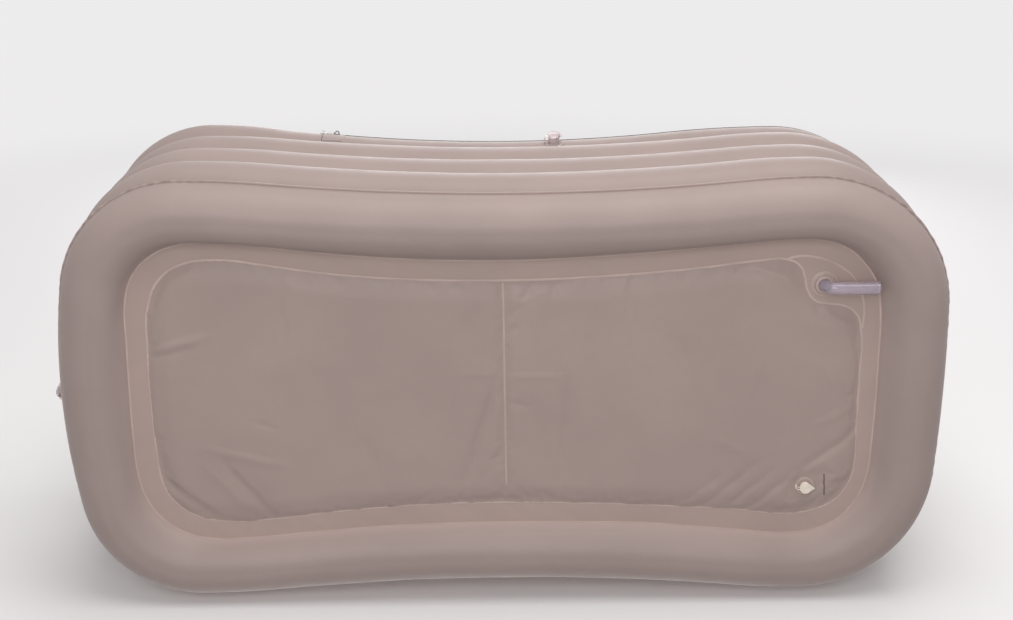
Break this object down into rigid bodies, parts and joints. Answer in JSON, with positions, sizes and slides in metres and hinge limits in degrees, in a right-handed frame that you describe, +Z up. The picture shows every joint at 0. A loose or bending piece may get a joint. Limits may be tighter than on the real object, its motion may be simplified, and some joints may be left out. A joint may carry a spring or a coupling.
{
  "type": "inflatable hot tub",
  "caption": "Waisted oblong soaking tub of stacked air rings on an air floor, with a zip-on cover that has a neck opening, a turning drain spout and air valves.",
  "frame": {"origin": "on the floor, under the middle of the tub's plan", "axes": "+X from the head end to the foot end where the drain is, +Z up from the base ring to the rim"},
  "size_m": [1.6202, 0.81, 0.5636],
  "materials": {
    "tub_skin": "satin welded vinyl film, taupe",
    "floor_skin": "satin vinyl film, slightly wrinkled",
    "skirt_skin": "satin vinyl film",
    "cover_skin": "satin vinyl film",
    "cover_binding": "woven edge binding",
    "zip_tape": "woven zip tape",
    "zip_coil": "moulded nylon coil",
    "zip_metal": "plated, bright",
    "zip_slider_metal": "dark plated casting",
    "valve_plastic": "soft moulded vinyl, pale",
    "wall_valve_plastic": "translucent moulded vinyl",
    "clear_tube": "clear extruded vinyl tube"
  },
  "bodies": {
    "tub": {"base_ring": "tub_skin", "wall_ring_2": "tub_skin", "wall_ring_3": "tub_skin", "wall_ring_4": "tub_skin", "rim_ring": "tub_skin", "floor_pad": "floor_skin", "floor_sheet": "floor_skin", "head_pillow": "tub_skin", "zip_skirt": "skirt_skin", "zip_start_patch": "skirt_skin", "zip_end_patch": "skirt_skin", "zip_rim_tape": "zip_tape", "zip_teeth": "zip_coil", "zip_start_stop": "zip_metal", "zip_end_stop": "zip_metal", "drain_collar": "valve_plastic", "floor_valve_body": "valve_plastic", "base_valve_body": "valve_plastic", "wall_valve_body": "wall_valve_plastic"},
    "cover": {"cover": "cover_skin", "cover_hem": "cover_binding", "zip_cover_tape": "zip_tape"},
    "zip_slider": {"zip_slider": "zip_slider_metal"},
    "zip_pull": {"zip_pull": "zip_metal"},
    "drain_spout": {"drain_spout": "clear_tube"},
    "drain_stopper": {"drain_stopper": "valve_plastic"},
    "floor_valve_cap": {"floor_valve_cap": "valve_plastic", "floor_valve_strap": "valve_plastic"},
    "base_valve_cap": {"base_valve_cap": "valve_plastic", "base_valve_strap": "valve_plastic"},
    "wall_valve_cap": {"wall_valve_cap": "wall_valve_plastic", "wall_valve_strap": "wall_valve_plastic"}
  },
  "joints": [
    {"name": "cover_lift", "type": "slide", "parent": "tub", "child": "cover", "axis": [0, 0, 1], "range_m": [0, 0.15]},
    {"name": "zip_travel", "type": "hinge", "parent": "tub", "child": "zip_slider", "pos_m": [0, -3.77145, 0.51169], "axis": [0, 0, -1], "range_deg": [0, 10.7]},
    {"name": "zip_pull_swing", "type": "hinge", "parent": "zip_slider", "child": "zip_pull", "pos_m": [-0.32969, -0.38472, 0.51299], "axis": [-0.0189, 0.1942, 0.9808], "range_deg": [0, 170]},
    {"name": "drain_spout_swivel", "type": "hinge", "parent": "tub", "child": "drain_spout", "pos_m": [0.566, -0.206, 0.036], "axis": [0, 0, 1], "range_deg": [0, 170]},
    {"name": "drain_stopper_lift", "type": "slide", "parent": "tub", "child": "drain_stopper", "axis": [0, 0, 1], "range_m": [0, 0.03]},
    {"name": "floor_valve_cap_hinge", "type": "hinge", "parent": "tub", "child": "floor_valve_cap", "pos_m": [0.5366, 0.1831, 0.03449], "axis": [0, 1, 0], "range_deg": [0, 95]},
    {"name": "base_valve_cap_hinge", "type": "hinge", "parent": "tub", "child": "base_valve_cap", "pos_m": [-0.80315, -0.0168, 0.08186], "axis": [0.325, 0, 0.9457], "range_deg": [0, 95]},
    {"name": "wall_valve_cap_hinge", "type": "hinge", "parent": "tub", "child": "wall_valve_cap", "pos_m": [0.08823, -0.37535, 0.48023], "axis": [0, 0.1845, -0.9828], "range_deg": [0, 95]}
  ]
}
